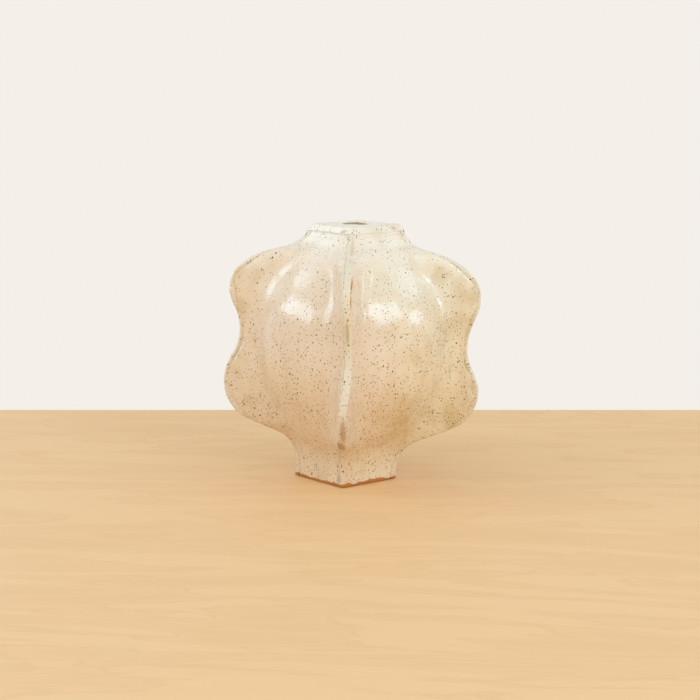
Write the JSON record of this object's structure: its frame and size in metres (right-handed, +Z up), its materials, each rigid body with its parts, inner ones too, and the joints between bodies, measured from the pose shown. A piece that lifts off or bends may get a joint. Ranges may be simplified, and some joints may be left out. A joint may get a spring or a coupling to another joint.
{
  "type": "pillow vase",
  "caption": "Slab-built stoneware vase with swelling walls pinched into wavy corner fins, a square foot and neck, and a small round mouth.",
  "frame": {"origin": "middle of the foot, on the surface that the vase stands on", "axes": "+Z up, out of the mouth; -Y towards the front seam; +X towards the right seam, the side that the neck leans to"},
  "size_m": [0.2309, 0.23, 0.23],
  "materials": {
    "glazed_slab": "glossy speckled cream glaze",
    "rim_slab": "glossy speckled cream glaze",
    "bare_clay": "bare fired stoneware, matt"
  },
  "bodies": {
    "root": {"front_right_wall": "glazed_slab", "back_right_wall": "glazed_slab", "back_left_wall": "glazed_slab", "front_left_wall": "glazed_slab", "top_slab": "rim_slab", "foot_slab": "bare_clay", "foot_coil": "bare_clay", "front_seam_coil": "bare_clay", "right_seam_coil": "bare_clay", "back_seam_coil": "bare_clay", "left_seam_coil": "bare_clay"}
  },
  "joints": []
}
